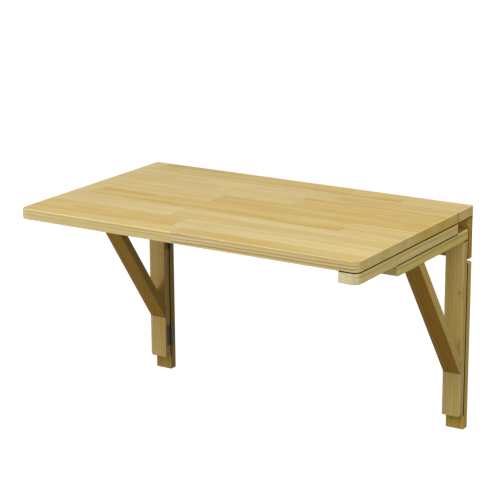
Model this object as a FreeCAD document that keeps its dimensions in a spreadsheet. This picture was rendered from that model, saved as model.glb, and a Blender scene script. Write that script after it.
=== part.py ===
import FreeCAD, Part
import Sketcher
import math
import os
import re

# Wall mounted drop leaf table in pine, in millimetres.
#
# A rail on the wall carries a narrow fixed shelf. The leaf hangs from that shelf on two butt
# hinges and rests on two triangular brackets. Each bracket swings inwards on two butt hinges
# that join its post to an upright of its own on the wall.
#
# The origin is the middle of the rail's rear face. +X runs to the right along the wall, +Z up,
# and the room is on the -Y side. Places below are distances out from the wall, so a piece that
# starts at such a distance has the opposite sign in Y.

# Every size that can be set by itself, with what it measures, in millimetres.
SIZES = {
    "table_width": (800, "end to end along the wall"),
    "table_depth": (500, "wall to the leaf's front edge"),
    "top_thickness": (23, "shelf and leaf"),
    "shelf_depth": (70, "wall to the shelf's front edge"),
    "seam_gap": (1.5, "open joint between the shelf and the leaf"),
    "leaf_corner_radius": (14, "front corners of the leaf, in plan"),
    "top_edge_radius": (2, "rounded edges of the shelf and the leaf"),
    "seam_bevel": (0.5, "edges on both sides of the seam"),
    "wood_bevel": (1, "eased edges of all other wood"),
    "rail_height": (90, "rail on the wall"),
    "rail_thickness": (18, "rail on the wall"),
    "batten_width": (42, "battens under the leaf's ends"),
    "batten_thickness": (23, "battens under the leaf's ends"),
    "left_batten_setback": (80, "leaf's front edge back to the left batten"),
    "bracket_width": (42, "uprights, posts, arms and braces, along the wall"),
    "upright_thickness": (18, "uprights, out from the wall"),
    "upright_length": (373, "uprights"),
    "upright_gap": (8, "rail down to the uprights"),
    "post_gap": (3, "upright to post, where the hinge barrels stand"),
    "post_thickness": (18, "posts, out from the wall"),
    "post_rise": (35, "upright's foot up to the post's foot"),
    "post_corner_radius": (5, "outer lower corner of a post"),
    "arm_height": (23, "arms"),
    "arm_length": (315, "arms, from the post's rear face"),
    "support_gap": (0.5, "arm to batten"),
    "brace_thickness": (19, "braces, across the slope"),
    "brace_drop": (291, "arm's underside down to the brace's front corner"),
    "brace_reach": (205.5, "post's front out to the brace's front corner"),
    "hinge_plate": (1.5, "sheet that the hinges are rolled from"),
    "barrel_radius": (2.75, "outside of the hinge barrels"),
    "pin_radius": (1.25, "hinge pins"),
    "pin_clearance": (0.05, "pin to knuckle, on the radius"),
    "pin_overhang": (0.6, "pin beyond each end of its barrel"),
    "knuckle_gap": (0.3, "between two knuckles on a pin"),
    "hinge_hole": (3.2, "screw holes in the hinges, diameter"),
    "bracket_hinge_length": (50, "bracket hinges, along the pin"),
    "bracket_hinge_width": (13, "bracket hinges, pin to plate edge"),
    "bracket_hinge_pitch": (30, "between a bracket hinge's screw holes"),
    "upper_hinge_drop": (51, "upright's top down to the upper hinge"),
    "lower_hinge_rise": (87, "upright's foot up to the lower hinge"),
    "leaf_hinge_length": (60, "leaf hinges, along the pin"),
    "leaf_hinge_width": (22, "leaf hinges, pin to plate edge"),
    "leaf_hinge_pitch": (38, "between a leaf hinge's screw holes"),
    "leaf_hinge_inset": (150, "table's end in to the leaf hinges"),
    "wall_hole": (5, "wall screw holes, diameter"),
    "wall_sink": (10, "countersinks of the uprights' wall holes, diameter"),
    "rail_hole_inset": (80, "table's end in to the rail's wall screws"),
    "rail_hole_pitch": (50, "between the rail's upper and lower screws"),
    "upright_hole_inset": (40, "upright's ends in to its wall screws"),
}

# Places and lengths that follow from the sizes.
PLACES = {
    "top_underside": "rail_height / 2",
    "leaf_rear": "shelf_depth + seam_gap",
    "leaf_depth": "table_depth - leaf_rear",
    "left_batten_depth": "leaf_depth - left_batten_setback",
    "batten_centre": "table_width / 2 - batten_width / 2",
    "batten_underside": "top_underside - batten_thickness",
    "arm_top": "batten_underside - support_gap",
    "arm_underside": "arm_top - arm_height",
    "upright_top": "-rail_height / 2 - upright_gap",
    "upright_foot": "upright_top - upright_length",
    "post_rear": "upright_thickness + post_gap",
    "post_front": "post_rear + post_thickness",
    "post_foot": "upright_foot + post_rise",
    "post_length": "arm_underside - post_foot",
    "bracket_centre": "table_width / 2 - bracket_width / 2",
    "bracket_inner_face": "table_width / 2 - bracket_width",
    "bracket_pin_side": "bracket_inner_face - barrel_radius",
    "bracket_pin_front": "upright_thickness + post_gap / 2",
    "upper_hinge_height": "upright_top - upper_hinge_drop",
    "lower_hinge_height": "upright_foot + lower_hinge_rise",
    "leaf_pin_front": "shelf_depth + seam_gap / 2",
    "leaf_pin_height": "top_underside - barrel_radius",
    "leaf_hinge_side": "table_width / 2 - leaf_hinge_inset",
    "rail_hole_side": "table_width / 2 - rail_hole_inset",
    "knuckle_bore": "pin_radius + pin_clearance",
    "plate_inner_face": "barrel_radius - hinge_plate",
    "knuckle_cutback": "barrel_radius + knuckle_gap",
    "brace_slope": "sqrt(brace_drop ^ 2 + brace_reach ^ 2)",
    "brace_foot_height": "brace_thickness * brace_slope / brace_reach",
    "brace_head_depth": "brace_thickness * brace_slope / brace_drop",
    "brace_foot_joint": "brace_drop - brace_foot_height",
    "brace_head_joint": "brace_reach - brace_head_depth",
}

NAME = re.compile(r"[a-z]+(?:_[a-z]+)+")
SIDES = {"left": -1, "right": 1}
COUNTERSINK_ANGLE = 90
CLEAR = 1  # how far a cut runs past the material that it takes away
LEAST_CUT = 1  # the least volume that counts as a hole, in cubic millimetres
NEAR = 1e-3  # how far apart two places may be and still count as one

doc = FreeCAD.newDocument("drop_leaf_table")
pieces = []


def expression(text):
    """Spells out a formula: a place becomes its own formula, and a size becomes its cell."""

    def spell(found):
        name = found.group()
        if name in PLACES:
            return "(" + expression(PLACES[name]) + ")"
        if name not in SIZES:
            raise KeyError(name)
        return "Sizes." + name

    return NAME.sub(spell, str(text))


def bind(item, formulas):
    """Binds each property of the item to its formula."""
    for path, text in formulas.items():
        item.setExpression(path, expression(text))


def add_sheet():
    """The sheet of driving sizes."""
    sheet = doc.addObject("Spreadsheet::Sheet", "Sizes")
    for row, (name, (number, meaning)) in enumerate(SIZES.items(), start=1):
        sheet.set(f"A{row}", name)
        sheet.set(f"B{row}", str(number))
        sheet.setAlias(f"B{row}", name)
        sheet.set(f"C{row}", meaning)
    doc.recompute()


def add_body(label, right="0", out="0", up="0", turn=None):
    """A named piece whose own origin lies right of, out from and above the table's origin."""
    body = doc.addObject("PartDesign::Body", label)
    body.Label = label
    if turn is not None:
        body.Placement = FreeCAD.Placement(FreeCAD.Vector(), turn)
    place = {"Placement.Base.x": right, "Placement.Base.y": f"-({out})", "Placement.Base.z": up}
    bind(body, place)
    pieces.append(body)
    return body


def add_sketch(body, name, plane, lift="0"):
    """A sketch on one of the body's own planes, lifted along that plane's normal."""
    origin = next(part for part in body.Origin.OriginFeatures if part.Role == plane)
    sketch = body.newObject("Sketcher::SketchObject", name)
    sketch.AttachmentSupport = [(origin, "")]
    sketch.MapMode = "FlatFace"
    bind(sketch, {"AttachmentOffset.Base.z": lift})
    return sketch


def dimension(sketch, name, kind, *where, size):
    """A named dimension of the sketch, bound to a formula."""
    index = sketch.addConstraint(Sketcher.Constraint(kind, *where))
    sketch.renameConstraint(index, name)
    bind(sketch, {f"Constraints.{name}": size})


def place_point(sketch, name, curve, end, across, along):
    """Holds one end of a curve at two formulas from the sketch's origin."""
    dimension(sketch, name + "_across", "DistanceX", -1, 1, curve, end, 1, size=across)
    dimension(sketch, name + "_along", "DistanceY", -1, 1, curve, end, 1, size=along)


def draw_loop(sketch, corners):
    """Draws a closed run of straight lines from one (x, y) start to the next."""
    points = [FreeCAD.Vector(x, y, 0) for x, y in corners]
    first = sketch.GeometryCount
    lines = range(first, first + len(points))
    for start, end in zip(points, points[1:] + points[:1]):
        sketch.addGeometry(Part.LineSegment(start, end))
    for line, after in zip(lines, [*lines[1:], first]):
        sketch.addConstraint(Sketcher.Constraint("Coincident", line, 2, after, 1))
    return list(lines)


def draw_rectangle(sketch, name, left, right, bottom, top):
    """A rectangle between four formulas."""
    base, side, head, other = draw_loop(sketch, [(0, 0), (1, 0), (1, 1), (0, 1)])
    for line in (base, head):
        sketch.addConstraint(Sketcher.Constraint("Horizontal", line))
    for line in (side, other):
        sketch.addConstraint(Sketcher.Constraint("Vertical", line))
    place_point(sketch, name + "_low", base, 1, left, bottom)
    place_point(sketch, name + "_high", head, 1, right, top)


def draw_circles(sketch, centres, radius):
    """Circles of one radius round pairs of formulas."""
    for number, (across, along) in enumerate(centres, start=1):
        middle = FreeCAD.Vector(number, number, 0)
        circle = sketch.addGeometry(Part.Circle(middle, FreeCAD.Vector(0, 0, 1), 1))
        place_point(sketch, f"centre{number}", circle, 3, across, along)
        dimension(sketch, f"radius{number}", "Radius", circle, 1, size=radius)


def pad(body, sketch, length, middle=False):
    """Raises the sketch into a solid, on one side or on both sides of its plane."""
    solid = body.newObject("PartDesign::Pad", "raised")
    solid.Profile = sketch
    if middle:
        solid.SideType = "Symmetric"
    bind(solid, {"Length": length})
    doc.recompute()


def ease(body, kind, size, wanted):
    """Rounds ("Fillet") or bevels ("Chamfer") each edge of the body that is wanted."""
    base = body.Tip
    names = [f"Edge{n}" for n, edge in enumerate(base.Shape.Edges, start=1) if wanted(edge)]
    feature = body.newObject("PartDesign::" + kind, kind.lower())
    feature.Base = (base, names)
    bind(feature, {"Radius" if kind == "Fillet" else "Size": size})
    doc.recompute()


def drill(body, name, plane, lift, centres, radius, sink=None):
    """Round holes right through, against the plane's normal. Sink is a countersink's radius."""
    before = body.Tip.Shape.Volume
    sketch = add_sketch(body, name + "_centres", plane, lift)
    draw_circles(sketch, centres, radius)
    doc.recompute()
    hole = body.newObject("PartDesign::Hole", name)
    hole.Profile = sketch
    doc.recompute()
    hole.ThreadType = "None"
    hole.DepthType = "ThroughAll"
    bind(hole, {"Diameter": f"2 * ({radius})"})
    if sink is not None:
        hole.HoleCutType = "Countersink"
        hole.HoleCutCustomValues = True
        hole.HoleCutCountersinkAngle = COUNTERSINK_ANGLE
        bind(hole, {"HoleCutDiameter": f"2 * ({sink})"})
    doc.recompute()
    if body.Tip.Shape.Volume > before - LEAST_CUT:
        raise RuntimeError(f"{body.Label}: {name} cut nothing")


def runs_along(edge, axis):
    """Whether a straight edge runs along the axis, 0 for X, 1 for Y and 2 for Z."""
    first, last = edge.Vertexes[0].Point, edge.Vertexes[-1].Point
    across = [abs(first[n] - last[n]) for n in range(3) if n != axis]
    return max(across) < NEAR < abs(first[axis] - last[axis])


def lies_at(edge, axis, place):
    """Whether the whole edge lies at one place along the axis."""
    box = edge.BoundBox
    low, high = ((box.XMin, box.XMax), (box.YMin, box.YMax), (box.ZMin, box.ZMax))[axis]
    return max(abs(low - place), abs(high - place)) < NEAR


# ---------------------------------------------------------------- the rail, shelf and uprights


def make_rail():
    """The rail on the wall, which carries the shelf on its top edge. Nothing closes over its
    screws, so their holes are plain."""
    body = add_body("wall_rail")
    sketch = add_sketch(body, "front_view", "XZ_Plane")
    half = "table_width / 2"
    draw_rectangle(sketch, "rail", f"-{half}", half, "-rail_height / 2", "rail_height / 2")
    pad(body, sketch, "rail_thickness")
    ease(body, "Chamfer", "wood_bevel", lambda edge: lies_at(edge, 1, body.Tip.Shape.BoundBox.YMin))
    sides = ("-rail_hole_side", "rail_hole_side")
    heights = ("-rail_hole_pitch / 2", "rail_hole_pitch / 2")
    centres = [(side, height) for side in sides for height in heights]
    drill(body, "wall_holes", "XZ_Plane", "rail_thickness", centres, "wall_hole / 2")


def make_shelf():
    """The fixed strip of table top along the wall."""
    body = add_body("shelf_strip", up="top_underside")
    sketch = add_sketch(body, "plan", "XY_Plane")
    half = "table_width / 2"
    draw_rectangle(sketch, "shelf", f"-{half}", half, "-shelf_depth", "0")
    pad(body, sketch, "top_thickness")
    whole = body.Tip.Shape.BoundBox
    ease(body, "Fillet", "top_edge_radius",
         lambda edge: runs_along(edge, 1) and lies_at(edge, 2, whole.ZMax))
    ease(body, "Chamfer", "seam_bevel",
         lambda edge: lies_at(edge, 1, whole.YMin) and runs_along(edge, 0))


def make_upright(side):
    """One wall upright. The post stands close in front of it, so its screws are countersunk."""
    body = add_body(f"{side}_wall_upright", right=f"{SIDES[side]} * bracket_centre",
                    up="upright_top")
    sketch = add_sketch(body, "front_view", "XZ_Plane")
    half = "bracket_width / 2"
    draw_rectangle(sketch, "upright", f"-{half}", half, "-upright_length", "0")
    pad(body, sketch, "upright_thickness")
    ease(body, "Chamfer", "wood_bevel", lambda edge: not lies_at(edge, 1, 0))
    centres = [("0", "-upright_hole_inset"), ("0", "upright_hole_inset - upright_length")]
    drill(body, "wall_holes", "XZ_Plane", "upright_thickness", centres, "wall_hole / 2",
          sink="wall_sink / 2")


# ---------------------------------------------------------------- the leaf and its battens


def make_leaf():
    """The leaf, with rounded front corners."""
    body = add_body("leaf_panel", out="leaf_rear", up="top_underside")
    sketch = add_sketch(body, "plan", "XY_Plane")
    half = "table_width / 2"
    draw_rectangle(sketch, "leaf", f"-{half}", half, "-leaf_depth", "0")
    pad(body, sketch, "top_thickness")
    whole = body.Tip.Shape.BoundBox
    ease(body, "Fillet", "leaf_corner_radius",
         lambda edge: runs_along(edge, 2) and edge.BoundBox.YMax < whole.YMin / 2)
    ease(body, "Fillet", "top_edge_radius",
         lambda edge: lies_at(edge, 2, whole.ZMax) and not lies_at(edge, 1, whole.YMax))
    ease(body, "Chamfer", "wood_bevel", lambda edge: lies_at(edge, 2, whole.ZMin))
    ease(body, "Chamfer", "seam_bevel",
         lambda edge: lies_at(edge, 1, whole.YMax) and lies_at(edge, 2, whole.ZMax))


def make_batten(side, depth):
    """A batten under one end of the leaf. The right one runs to the front and takes the leaf's
    corner, and the left one stops short of the front."""
    body = add_body(f"{side}_batten", right=f"{SIDES[side]} * batten_centre", out="leaf_rear",
                    up="batten_underside")
    sketch = add_sketch(body, "plan", "XY_Plane")
    half = "batten_width / 2"
    draw_rectangle(sketch, "batten", f"-{half}", half, f"-({depth})", "0")
    pad(body, sketch, "batten_thickness")
    front = body.Tip.Shape.BoundBox.YMin
    if side == "right":
        ease(body, "Fillet", "leaf_corner_radius",
             lambda edge: runs_along(edge, 2) and edge.BoundBox.YMax < front / 2
             and edge.BoundBox.XMin > 0)
    ease(body, "Chamfer", "wood_bevel", lambda edge: not runs_along(edge, 2))


# ---------------------------------------------------------------- the brackets


def make_post(side):
    """The bracket's post, which hangs in front of its upright."""
    body = add_body(f"{side}_bracket_post", right=f"{SIDES[side]} * bracket_centre",
                    out="post_rear", up="arm_underside")
    sketch = add_sketch(body, "front_view", "XZ_Plane")
    half = "bracket_width / 2"
    draw_rectangle(sketch, "post", f"-{half}", half, "-post_length", "0")
    pad(body, sketch, "post_thickness")
    foot = body.Tip.Shape.BoundBox.ZMin
    ease(body, "Fillet", "post_corner_radius",
         lambda edge: runs_along(edge, 1) and edge.BoundBox.ZMax < foot / 2
         and edge.BoundBox.XMin * SIDES[side] > 0)
    ease(body, "Chamfer", "wood_bevel",
         lambda edge: not runs_along(edge, 1) and not lies_at(edge, 2, 0))


def make_arm(side):
    """The bracket's arm, which lies on the post and carries the leaf."""
    body = add_body(f"{side}_bracket_arm", right=f"{SIDES[side]} * bracket_centre", out="post_rear",
                    up="arm_underside")
    sketch = add_sketch(body, "plan", "XY_Plane")
    half = "bracket_width / 2"
    draw_rectangle(sketch, "arm", f"-{half}", half, "-arm_length", "0")
    pad(body, sketch, "arm_height")
    ease(body, "Chamfer", "wood_bevel", lambda edge: True)


def make_brace(side):
    """The sloping brace, cut upright against the post and level against the arm."""
    body = add_body(f"{side}_bracket_brace", right=f"{SIDES[side]} * bracket_centre",
                    out="post_front", up="arm_underside")
    sketch = add_sketch(body, "side_view", "YZ_Plane")
    lines = draw_loop(sketch, [(0, -4), (-3, 0), (-2, 0), (0, -3)])
    lower, head, upper, foot = lines
    place_point(sketch, "front_foot", lower, 1, "0", "-brace_drop")
    place_point(sketch, "front_head", head, 1, "-brace_reach", "0")
    place_point(sketch, "rear_head", upper, 1, "-brace_head_joint", "0")
    place_point(sketch, "rear_foot", foot, 1, "0", "-brace_foot_joint")
    pad(body, sketch, "bracket_width", middle=True)
    joints = (1, 2)
    ease(body, "Chamfer", "wood_bevel",
         lambda edge: not runs_along(edge, 0) and not any(lies_at(edge, n, 0) for n in joints))


# ---------------------------------------------------------------- the hinges

# A hinge is drawn round its pin, which stands on the plan's origin and runs along Z. The plates
# lie flat against wood on the +Y side, and a plate drawn towards +X makes the other one when it
# is turned half a turn about Y.
HALF_TURN = FreeCAD.Rotation(FreeCAD.Vector(0, 1, 0), 180)
BRACKET_TURNS = {
    side: FreeCAD.Rotation(FreeCAD.Vector(0, 0, 1), -90 * sign) for side, sign in SIDES.items()
}
LEAF_TURN = FreeCAD.Rotation(FreeCAD.Vector(1, 1, 1), 120)
KNUCKLES = 3
FIXED_KNUCKLES = (0, 2)
MOVING_KNUCKLES = (1,)


def draw_rolled_plate(sketch, width):
    """The section of a plate that is rolled round the pin, with the pin's bore."""
    radius = SIZES["barrel_radius"][0]
    inner = radius - SIZES["hinge_plate"][0]
    reach = math.sqrt(radius ** 2 - inner ** 2)
    middle, up = FreeCAD.Vector(), FreeCAD.Vector(0, 0, 1)
    ring = Part.Circle(middle, up, radius)
    outer = sketch.addGeometry(
        Part.LineSegment(FreeCAD.Vector(4 * radius, radius), FreeCAD.Vector(0, radius)))
    roll = sketch.addGeometry(
        Part.ArcOfCircle(ring, math.pi / 2, 2 * math.pi + math.atan2(inner, reach)))
    inside = sketch.addGeometry(
        Part.LineSegment(FreeCAD.Vector(reach, inner), FreeCAD.Vector(4 * radius, inner)))
    edge = sketch.addGeometry(
        Part.LineSegment(FreeCAD.Vector(4 * radius, inner), FreeCAD.Vector(4 * radius, radius)))
    for line, after in ((outer, roll), (roll, inside), (inside, edge), (edge, outer)):
        sketch.addConstraint(Sketcher.Constraint("Coincident", line, 2, after, 1))
    sketch.addConstraint(Sketcher.Constraint("Coincident", roll, 3, -1, 1))
    sketch.addConstraint(Sketcher.Constraint("PointOnObject", roll, 1, -2))
    sketch.addConstraint(Sketcher.Constraint("Horizontal", outer))
    sketch.addConstraint(Sketcher.Constraint("Horizontal", inside))
    sketch.addConstraint(Sketcher.Constraint("Vertical", edge))
    dimension(sketch, "barrel", "Radius", roll, radius, size="barrel_radius")
    place_point(sketch, "plate_end", edge, 1, width, "plate_inner_face")
    draw_bore(sketch)


def draw_bore(sketch):
    """The pin's bore through a knuckle."""
    bore = sketch.addGeometry(Part.Circle(FreeCAD.Vector(), FreeCAD.Vector(0, 0, 1), 1))
    sketch.addConstraint(Sketcher.Constraint("Coincident", bore, 3, -1, 1))
    dimension(sketch, "bore", "Radius", bore, 1, size="knuckle_bore")


def cut_knuckles(body, length, kept):
    """Cuts the roll away between the kept knuckles, with a running gap beside each."""
    sketch = add_sketch(body, "between_knuckles", "XZ_Plane")
    for number in range(KNUCKLES):
        if number in kept:
            continue
        low = f"{length} * {number} / {KNUCKLES} - {length} / 2 - knuckle_gap / 2"
        high = f"{length} * {number + 1} / {KNUCKLES} - {length} / 2 + knuckle_gap / 2"
        if number == 0:
            low = f"-{length} / 2 - {CLEAR}"
        if number == KNUCKLES - 1:
            high = f"{length} / 2 + {CLEAR}"
        draw_rectangle(sketch, f"gap{number}", f"-(barrel_radius + {CLEAR})", "knuckle_cutback",
                       low, high)
    doc.recompute()
    cut = body.newObject("PartDesign::Pocket", "knuckle_cut")
    cut.Profile = sketch
    cut.Type = "ThroughAll"
    cut.SideType = "Symmetric"
    doc.recompute()


def make_hinge_plate(label, kind, kept, turn, right, out, up):
    """One half of a butt hinge: a plate with its knuckles and two screw holes."""
    body = add_body(label, right=right, out=out, up=up, turn=turn)
    length, width, pitch = (f"{kind}_hinge_{part}" for part in ("length", "width", "pitch"))
    section = add_sketch(body, "section", "XY_Plane")
    draw_rolled_plate(section, width)
    pad(body, section, length, middle=True)
    cut_knuckles(body, length, kept)
    across = f"(knuckle_cutback + {width}) / 2"
    centres = [(across, f"-{pitch} / 2"), (across, f"{pitch} / 2")]
    drill(body, "screw_holes", "XZ_Plane", "-plate_inner_face", centres, "hinge_hole / 2")


def make_pin(label, length, turn, right, out, up):
    """A hinge pin that shows a little at both ends of its barrel."""
    body = add_body(label, right=right, out=out, up=up, turn=turn)
    sketch = add_sketch(body, "section", "XY_Plane")
    draw_circles(sketch, [("0", "0")], "pin_radius")
    pad(body, sketch, f"{length} + 2 * pin_overhang", middle=True)


def make_bracket_hinge(side, level):
    """A hinge on the inner faces of one upright and its post."""
    turn = BRACKET_TURNS[side]
    place = {"right": f"{SIDES[side]} * bracket_pin_side", "out": "bracket_pin_front",
             "up": f"{level}_hinge_height"}
    towards_room, towards_wall = turn, turn.multiply(HALF_TURN)
    if side == "left":
        towards_room, towards_wall = towards_wall, towards_room
    name = f"{side}_{level}_hinge"
    make_hinge_plate(f"{name}_wall_plate", "bracket", FIXED_KNUCKLES, towards_wall, **place)
    make_hinge_plate(f"{name}_post_plate", "bracket", MOVING_KNUCKLES, towards_room, **place)
    make_pin(f"{name}_pin", "bracket_hinge_length", turn, **place)


def make_leaf_hinge(side):
    """A hinge under the seam between the shelf and the leaf."""
    place = {"right": f"{SIDES[side]} * leaf_hinge_side", "out": "leaf_pin_front",
             "up": "leaf_pin_height"}
    name = f"{side}_leaf_hinge"
    make_hinge_plate(f"{name}_shelf_plate", "leaf", FIXED_KNUCKLES, LEAF_TURN, **place)
    make_hinge_plate(f"{name}_leaf_plate", "leaf", MOVING_KNUCKLES,
                     LEAF_TURN.multiply(HALF_TURN), **place)
    make_pin(f"{name}_pin", "leaf_hinge_length", LEAF_TURN, **place)


# ---------------------------------------------------------------- the whole table


def make_table():
    """Every piece of the table."""
    add_sheet()
    make_rail()
    make_shelf()
    make_leaf()
    make_batten("left", "left_batten_depth")
    make_batten("right", "leaf_depth")
    for side in SIDES:
        make_upright(side)
        make_post(side)
        make_arm(side)
        make_brace(side)
        for level in ("upper", "lower"):
            make_bracket_hinge(side, level)
        make_leaf_hinge(side)
    doc.recompute()


def check_pieces():
    """Stops if any object failed or any piece isn't one good solid."""
    for item in doc.Objects:
        if {"Invalid", "Error"} & set(item.State):
            raise RuntimeError(f"{item.Label}: {item.State}")
    for piece in pieces:
        shape = piece.Shape
        if shape.isNull() or not shape.isValid() or len(shape.Solids) != 1:
            raise RuntimeError(f"{piece.Label}: not one valid solid")


def write_pieces():
    """Writes each piece to a STEP file of its own name."""
    os.makedirs("parts", exist_ok=True)
    for piece in pieces:
        piece.Shape.exportStep(f"parts/{piece.Label}.step")


make_table()
check_pieces()
write_pieces()
print(len(pieces), "pieces")
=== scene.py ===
import math
from collections import defaultdict
from functools import partial, reduce

import bmesh
import bpy
from bpy.props import FloatProperty, FloatVectorProperty, PointerProperty
from mathutils import Matrix, Vector


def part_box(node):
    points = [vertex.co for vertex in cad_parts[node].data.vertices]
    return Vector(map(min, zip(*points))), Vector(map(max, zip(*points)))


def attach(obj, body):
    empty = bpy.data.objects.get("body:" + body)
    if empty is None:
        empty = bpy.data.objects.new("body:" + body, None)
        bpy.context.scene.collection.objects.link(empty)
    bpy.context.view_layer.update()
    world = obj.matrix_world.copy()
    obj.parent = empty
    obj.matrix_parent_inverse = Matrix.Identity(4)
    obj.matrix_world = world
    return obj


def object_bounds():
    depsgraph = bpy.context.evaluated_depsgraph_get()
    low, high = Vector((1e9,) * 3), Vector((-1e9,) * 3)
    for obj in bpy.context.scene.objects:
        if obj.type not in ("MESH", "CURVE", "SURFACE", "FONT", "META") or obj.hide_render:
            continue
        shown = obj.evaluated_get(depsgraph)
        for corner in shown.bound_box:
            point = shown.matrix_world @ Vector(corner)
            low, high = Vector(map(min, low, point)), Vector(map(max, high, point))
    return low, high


bl_info = {
    "name": "Wall Mounted Drop Leaf Table",
    "version": (1, 0, 0),
    "blender": (4, 5, 0),
    "location": "View3D > Sidebar > Drop Leaf Table",
    "description": "Pine, hinges, screws and studio for a wall mounted drop leaf table",
    "category": "Object",
}

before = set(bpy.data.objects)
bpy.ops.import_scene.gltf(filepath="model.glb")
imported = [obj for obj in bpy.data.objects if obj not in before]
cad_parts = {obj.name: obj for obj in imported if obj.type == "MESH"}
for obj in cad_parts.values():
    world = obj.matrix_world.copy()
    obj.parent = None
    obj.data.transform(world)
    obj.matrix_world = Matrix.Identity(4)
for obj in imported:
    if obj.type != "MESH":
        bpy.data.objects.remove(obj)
cad_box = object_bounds()

MM = 0.001
SIDES = {"left": -1, "right": 1}
LEVELS = ("upper", "lower")
QUARTER = math.pi / 2
WHITE = (1, 1, 1)


def grain_turn(length, width):
    """The turn that brings a piece's length to X, where the grain runs, and its width to Y."""
    length, width = Vector(length).normalized(), Vector(width).normalized()
    return Matrix((length, width, length.cross(width))).to_euler()


ALONG_TABLE = grain_turn((1, 0, 0), (0, 1, 0))
ON_EDGE = grain_turn((1, 0, 0), (0, 0, 1))
UPRIGHT = grain_turn((0, 0, 1), (1, 0, 0))
OUT_FROM_WALL = grain_turn((0, 1, 0), (1, 0, 0))


def bracket_pieces(side):
    """The names of a bracket's post, arm and brace."""
    return [f"{side}_bracket_{part}" for part in ("post", "arm", "brace")]


# ---- what a user can set


def a_colour(name, description, default):
    """A colour."""
    return FloatVectorProperty(name=name, description=description, default=default,
                               subtype="COLOR", size=3, min=0, max=1)


def a_length(name, description, default):
    """A length in metres."""
    return FloatProperty(name=name, description=description, default=default, min=0,
                         subtype="DISTANCE", unit="LENGTH", precision=5)


def a_share(name, description, default):
    """A share from 0 to 1."""
    return FloatProperty(name=name, description=description, default=default, min=0, max=1,
                         subtype="FACTOR")


def a_power(name, description, default):
    """The power of a lamp."""
    return FloatProperty(name=name, description=description, default=default, min=0, unit="POWER")


class PineSettings(bpy.types.PropertyGroup):
    """The pine and its lacquer."""

    top_early: a_colour("Top Early Wood", "Pale wood of the shelf and leaf", (0.680, 0.522, 0.185))
    top_late: a_colour("Top Late Wood", "Rings of the shelf and leaf", (0.54, 0.355, 0.08))
    frame_early: a_colour("Frame Early Wood", "Pale wood under the top", (0.60, 0.455, 0.128))
    frame_late: a_colour("Frame Late Wood", "Rings of the wood under the top", (0.42, 0.255, 0.05))
    edge_early: a_colour("Edge Early Wood", "Pale wood in edges and end grain",
                         (0.70, 0.595, 0.345))
    edge_late: a_colour("Edge Late Wood", "Rings in edges and end grain", (0.47, 0.31, 0.12))
    # Joint colours the dark joint lines. Beside closed joints they are partly a dark joint and
    # partly painted shade of the gap; where a bracket only meets the wall frame, a batten or the
    # shelf they are painted shade alone.
    joint: a_colour("Joint", "The dark line in a closed joint", (0.026, 0.011, 0.002))
    knot: a_colour("Knot", "Heart of a knot", (0.22, 0.12, 0.035))
    # Rubbed arrises are partly worn wood and partly a painted highlight along the rounded edges;
    # Top Wear and Frame Wear set how strongly that shows.
    rubbed: a_colour("Rubbed Arris", "Wood that shows at rubbed edges", (0.88, 0.76, 0.46))
    top_rings: a_length("Top Rings", "Width of a growth ring in the top", 0.0080)
    frame_rings: a_length("Frame Rings", "Width of a growth ring in the other wood", 0.0050)
    stave_width: a_length("Stave Width", "Width of the top's staves", 0.068)
    stave_length: a_length("Stave Length", "Length of the top's staves", 0.62)
    arris_width: a_length("Arris Width", "Width of the paler worn edges", 0.0022)
    joint_width: a_length("Joint Width", "Width of the dark line beside a joint", 0.0018)
    top_lacquer: a_share("Top Lacquer", "Weight of the lacquer on the top", 0.42)
    frame_lacquer: a_share("Frame Lacquer", "Weight of the lacquer on the other wood", 0.06)
    top_gloss: a_share("Top Gloss", "Roughness of the lacquer on the top", 0.22)
    frame_gloss: a_share("Frame Gloss", "Roughness of the lacquer on the other wood", 0.45)
    roughness: a_share("Roughness", "Roughness of the bare wood", 0.55)
    # The top's rubbed arrises carry more of the painted highlight than the other pieces'.
    top_wear: a_share("Top Wear", "How pale the top's arrises are rubbed", 0.75)
    frame_wear: a_share("Frame Wear", "How pale the other arrises are rubbed", 0.30)


class SteelSettings(bpy.types.PropertyGroup):
    """The steel of the hinges and screws."""

    black: a_colour("Black", "Finish of the hinges", (0.044, 0.037, 0.013))
    rubbed: a_colour("Rubbed", "Steel that shows at rubbed edges", (0.20, 0.19, 0.18))
    pin: a_colour("Pin", "Finish of the hinge pins", (0.05, 0.05, 0.048))
    zinc: a_colour("Zinc", "Plating of the wood screws", (0.46, 0.43, 0.36))
    roughness: a_share("Roughness", "Roughness of the black finish", 0.42)


class ScrewSettings(bpy.types.PropertyGroup):
    """The screws' heads."""

    hinge_head: a_length("Hinge Screw Head", "Diameter of the hinge screws' heads", 0.0058)
    hinge_rise: a_length("Hinge Screw Rise", "Height of the hinge screws' heads", 0.0013)
    wood_head: a_length("Wood Screw Head", "Diameter of the wood screws' heads", 0.0080)
    wood_rise: a_length("Wood Screw Rise", "How far the wood screws' heads stand out", 0.00015)


class StageSettings(bpy.types.PropertyGroup):
    """Floor, lamps and camera."""

    table_height: a_length("Table Height", "Height of the table's top above the floor", 0.75)
    floor_white: a_share("Floor White", "Share of the floor's white that shadows leave", 0.90)
    sky_level: FloatProperty(name="Sky Level", description="Strength of the light from all round",
                             default=0.17, min=0)
    key_power: a_power("Key Power", "Power of the main lamp", 175)
    side_power: a_power("Side Power", "Power of the lamp on the right", 60)
    front_power: a_power("Front Power", "Power of the low lamp in front", 23)
    near_power: a_power("Near Power", "Power of the lamp beside the corner", 10)
    back_power: a_power("Back Power", "Power of the lamp behind", 30)


# ---- working with node trees


# The shared effects that have been built, each under the function that builds it.
built = {}


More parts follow.
